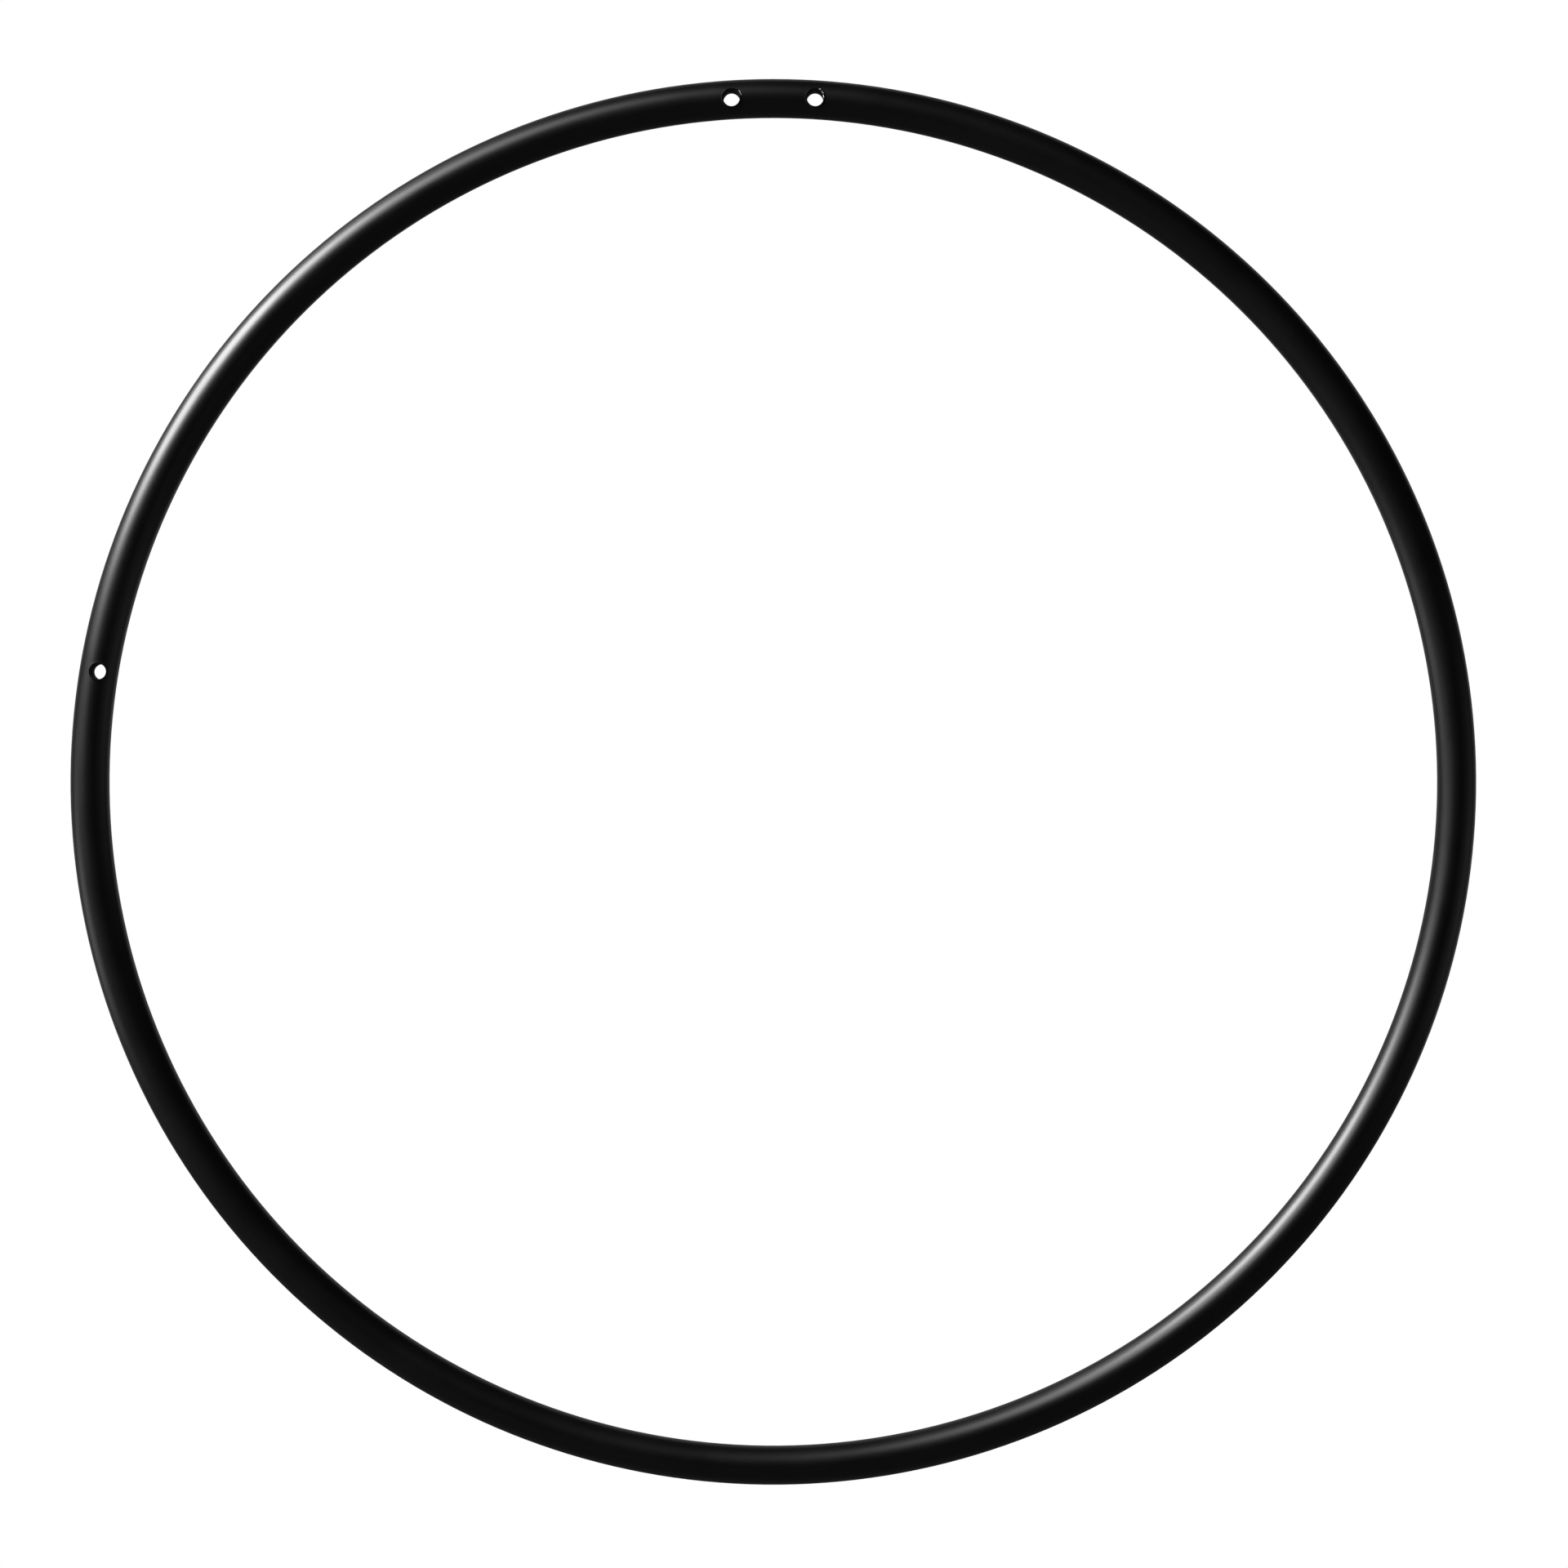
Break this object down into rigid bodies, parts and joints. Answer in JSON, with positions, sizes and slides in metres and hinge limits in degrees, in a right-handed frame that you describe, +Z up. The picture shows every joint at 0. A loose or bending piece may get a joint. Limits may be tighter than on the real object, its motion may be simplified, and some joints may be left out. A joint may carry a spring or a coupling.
{
  "type": "lyra hoop",
  "caption": "Aerial hoop of round steel tube in black powder coat, hung by bolts through sleeved cross holes beside its top.",
  "frame": {"origin": "centre of the hoop, midway between its front and back", "axes": "+Z up towards the holes that the hoop hangs from, -Y to the front, +X to the right seen from the front, with the side hole at -X"},
  "size_m": [0.9, 0.0254, 0.9],
  "materials": {
    "powder_coat": "black powder coat on steel, satin to semi-gloss, fine orange peel",
    "bare_steel": "uncoated steel inside the tube"
  },
  "bodies": {
    "root": {"hoop_tube": "powder_coat", "joint_spigot": "bare_steel", "joint_weld": "powder_coat", "crush_sleeve_top_left": "powder_coat", "crush_sleeve_top_right": "powder_coat", "crush_sleeve_side": "powder_coat"}
  },
  "joints": []
}
